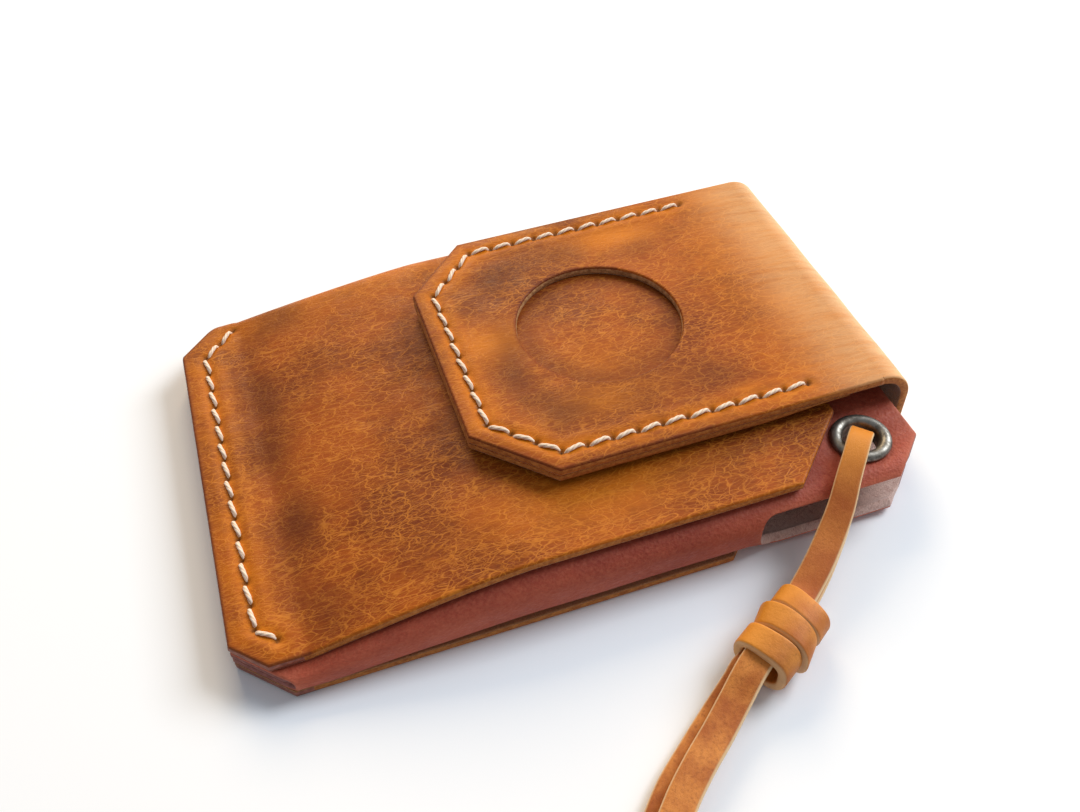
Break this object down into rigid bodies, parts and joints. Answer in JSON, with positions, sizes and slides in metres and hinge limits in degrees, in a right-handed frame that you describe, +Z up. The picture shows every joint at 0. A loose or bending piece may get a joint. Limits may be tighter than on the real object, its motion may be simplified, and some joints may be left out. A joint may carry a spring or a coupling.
{
  "type": "leather card wallet",
  "caption": "Folded leather card wallet with a flap that wraps one open end, a round window, a finger notch, and a knotted wrist lanyard through an eyelet.",
  "frame": {"origin": "middle of the underside of the wallet without its lanyard, on the surface it lies on", "axes": "+X along the wallet towards the bend of the flap, +Y towards the spine, +Z up, the flap side"},
  "size_m": [0.1018, 0.1572, 0.0143],
  "materials": {
    "cognac_leather": "cognac pull-up leather, creased grain, semi-matt",
    "chestnut_leather": "smooth chestnut leather, fine grain, semi-matt",
    "old_nickel": "aged nickel, satin",
    "waxed_thread": "cream waxed twisted thread",
    "ochre_lace": "ochre leather lace, satin"
  },
  "bodies": {
    "case": {"outer_shell": "cognac_leather", "flap_bend": "cognac_leather", "card_pocket": "chestnut_leather", "eyelet": "old_nickel", "eyelet_washer": "old_nickel", "body_seam_thread": "waxed_thread", "lanyard_bight": "ochre_lace", "lanyard_knot": "ochre_lace", "wrist_loop": "ochre_lace"},
    "flap": {"flap_outer": "cognac_leather", "flap_lining": "cognac_leather", "flap_seam_thread": "waxed_thread"}
  },
  "joints": [
    {"name": "flap_hinge", "type": "hinge", "parent": "case", "child": "flap", "pos_m": [0.05125, 0.00405, 0.00695], "axis": [0, 1, 0], "range_deg": [0, 175], "deforming": ["flap_bend"]}
  ]
}
